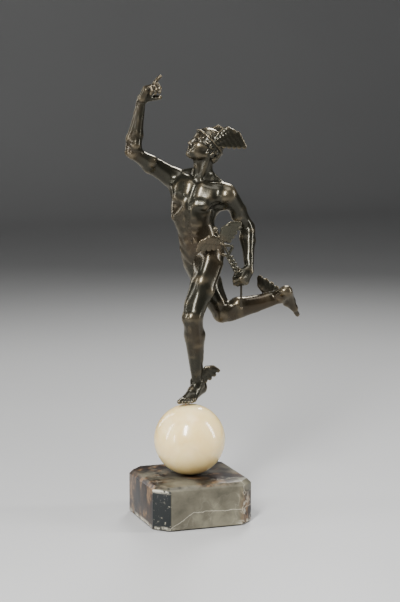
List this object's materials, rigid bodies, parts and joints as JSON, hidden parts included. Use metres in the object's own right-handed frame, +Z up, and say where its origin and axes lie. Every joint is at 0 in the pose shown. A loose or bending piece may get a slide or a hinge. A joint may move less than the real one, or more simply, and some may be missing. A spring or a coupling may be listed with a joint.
{
  "type": "bronze messenger god statuette",
  "caption": "Bronze running messenger god with winged hat and ankles, holding a winged staff, poised on a stone ball over a square marble block.",
  "frame": {"origin": "centre of the base's underside, on the surface that the pads stand on", "axes": "+Z up, -Y towards the base's front face, +X to the base's right seen from the front; the base's sides lie along X and Y"},
  "size_m": [0.2561, 0.1511, 0.617],
  "materials": {
    "bronze": "dark brown patina, satin with worn highlights",
    "staff_bronze": "worn brown patina, satin",
    "alabaster": "polished creamy alabaster",
    "marble": "polished grey-brown marble with ochre and white veins",
    "padding": "matt pale pad"
  },
  "bodies": {
    "root": {"figure": "bronze", "caduceus": "staff_bronze", "ball": "alabaster", "marble_base": "marble", "pad_front_left": "padding", "pad_front_right": "padding", "pad_back_left": "padding", "pad_back_right": "padding"}
  },
  "joints": []
}
